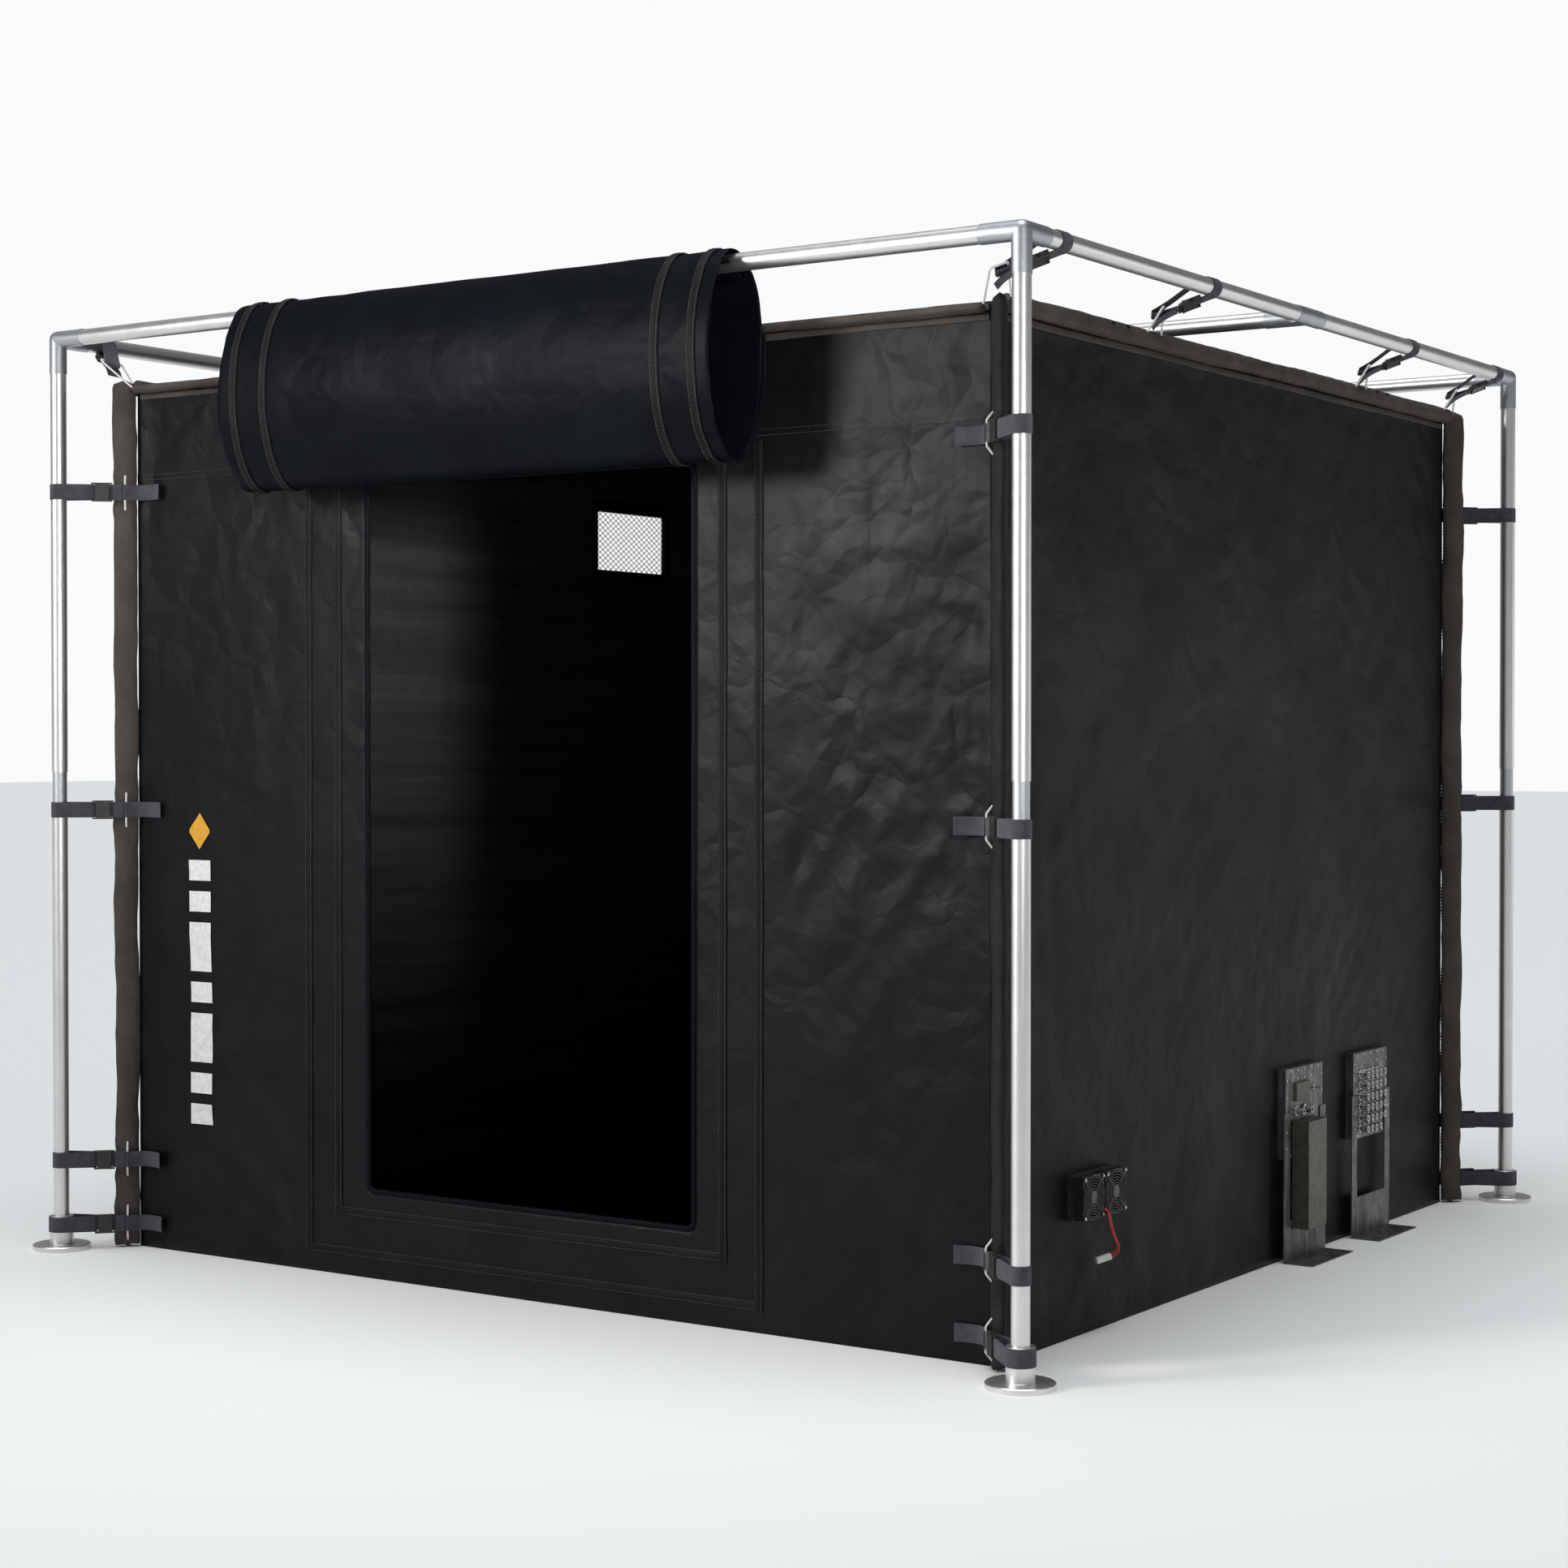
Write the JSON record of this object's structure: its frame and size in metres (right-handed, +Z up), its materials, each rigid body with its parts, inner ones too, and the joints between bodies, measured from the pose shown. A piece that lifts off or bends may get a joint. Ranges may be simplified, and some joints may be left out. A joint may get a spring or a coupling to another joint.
{
  "type": "radio shielding tent in tube frame",
  "caption": "Square black conductive-cloth tent strapped inside a free-standing aluminium tube frame, with a rolled-up door, fans, a mesh vent and connector panels.",
  "frame": {"origin": "middle of the underside of the tent's floor cloth, on the ground", "axes": "+Z up, -Y out through the doorway, +X towards the wall with the fans and connector panels"},
  "size_m": [2.846, 2.8939, 2.2762],
  "materials": {
    "tube": "satin",
    "fitting": "brushed",
    "spigot": "brushed",
    "tent_cloth": "semi-gloss conductive cloth",
    "roll_cloth": "semi-gloss conductive cloth",
    "strip_cloth": "stitched cloth band",
    "sleeve_cloth": "matt heavy cloth",
    "rod": "satin",
    "vent_cloth": "matt cloth",
    "vent_mesh": "woven mesh",
    "webbing": "ribbed webbing",
    "shock_cord": "braided",
    "buckle": "satin",
    "fan_plastic": "fine grain",
    "plenum": "satin",
    "guard_wire": "plated wire",
    "lead": "insulated wire",
    "connector": "moulded nylon",
    "galvanised": "aged galvanised sheet",
    "filter_case": "satin",
    "cover": "satin",
    "conduit": "zinc plated",
    "jack": "plated",
    "screw": "plated"
  },
  "bodies": {
    "frame": {"backing_plates": "galvanised", "buckle_plugs": "buckle", "buckle_sockets": "buckle", "coax_jacks": "jack", "conduit_fittings": "conduit", "corner_elbows": "fitting", "corner_sleeves": "sleeve_cloth", "cross_tube": "tube", "door_seal_strips": "strip_cloth", "fan_frames": "fan_plastic", "fan_lead_front": "lead", "fan_lead_rear": "lead", "fan_plenum": "plenum", "finger_guards": "guard_wire", "floor_panel": "tent_cloth", "foot_front_left": "fitting", "foot_front_right": "fitting", "foot_rear_left": "fitting", "foot_rear_right": "fitting", "front_rail": "tube", "front_wall": "tent_cloth", "lead_connector": "connector", "left_rail": "tube", "left_wall": "tent_cloth", "lower_post_front_left": "tube", "lower_post_front_right": "tube", "lower_post_rear_left": "tube", "lower_post_rear_right": "tube", "machine_screws": "screw", "mains_filter": "filter_case", "outlet_cover": "cover", "power_panel": "galvanised", "power_stand": "galvanised", "rail_tees": "fitting", "rear_rail": "tube", "rear_wall": "tent_cloth", "right_rail": "tube", "right_wall": "tent_cloth", "roof_panel": "tent_cloth", "shock_cords": "shock_cord", "signal_panel": "galvanised", "signal_stand": "galvanised", "sleeve_rods": "rod", "strap_webbing": "webbing", "top_sleeves": "sleeve_cloth", "tube_spigots": "spigot", "upper_post_front_left": "tube", "upper_post_front_right": "tube", "upper_post_rear_left": "tube", "upper_post_rear_right": "tube", "vent_frame": "vent_cloth", "vent_mesh": "vent_mesh"},
    "fan_impeller_front": {"fan_impeller_front": "fan_plastic"},
    "fan_impeller_rear": {"fan_impeller_rear": "fan_plastic"},
    "door_flap": {"door_flap": "roll_cloth"},
    "buckle_plug_1": {"buckle_plug_1": "buckle"},
    "buckle_plug_2": {"buckle_plug_2": "buckle"},
    "buckle_plug_3": {"buckle_plug_3": "buckle"},
    "buckle_plug_4": {"buckle_plug_4": "buckle"}
  },
  "joints": [
    {"name": "fan_front_spin", "type": "hinge", "parent": "frame", "child": "fan_impeller_front", "pos_m": [1.2435, -0.865, 0.297], "axis": [1, 0, 0], "continuous": true},
    {"name": "fan_rear_spin", "type": "hinge", "parent": "frame", "child": "fan_impeller_rear", "pos_m": [1.2435, -0.764, 0.297], "axis": [1, 0, 0], "continuous": true},
    {"name": "door_flap_swing", "type": "hinge", "parent": "frame", "child": "door_flap", "pos_m": [0, -1.353, 2.241], "axis": [-1, 0, 0], "range_deg": [0, 60]},
    {"name": "buckle_release_1", "type": "slide", "parent": "frame", "child": "buckle_plug_1", "axis": [-0.6878, 0.7259, 0], "range_m": [0, 0.0225]},
    {"name": "buckle_release_2", "type": "slide", "parent": "frame", "child": "buckle_plug_2", "axis": [-0.7316, 0.6818, 0], "range_m": [0, 0.0225]},
    {"name": "buckle_release_3", "type": "slide", "parent": "frame", "child": "buckle_plug_3", "axis": [-0.7316, 0.6818, 0], "range_m": [0, 0.0225]},
    {"name": "buckle_release_4", "type": "slide", "parent": "frame", "child": "buckle_plug_4", "axis": [-0.7316, 0.6818, 0], "range_m": [0, 0.0225]}
  ]
}
